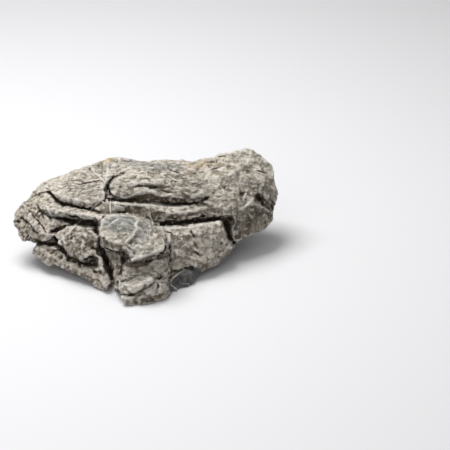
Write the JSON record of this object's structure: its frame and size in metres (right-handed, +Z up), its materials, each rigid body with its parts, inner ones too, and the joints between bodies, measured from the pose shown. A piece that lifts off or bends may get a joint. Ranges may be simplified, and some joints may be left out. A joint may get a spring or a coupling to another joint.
{
  "type": "seiryu stone",
  "caption": "Weathered grey limestone for an aquascape: low, ledged, cut by deep crevices, with a jutting front and a flat base to rest on.",
  "frame": {"origin": "centre of the bounding box, at the surface that the stone rests on", "axes": "+X along the stone's length to the right, +Y to its back, +Z up"},
  "size_m": [0.226, 0.1478, 0.0833],
  "materials": {
    "limestone": "matt, weathered, with white calcite veins"
  },
  "bodies": {
    "root": {"seiryu_stone": "limestone"}
  },
  "joints": []
}
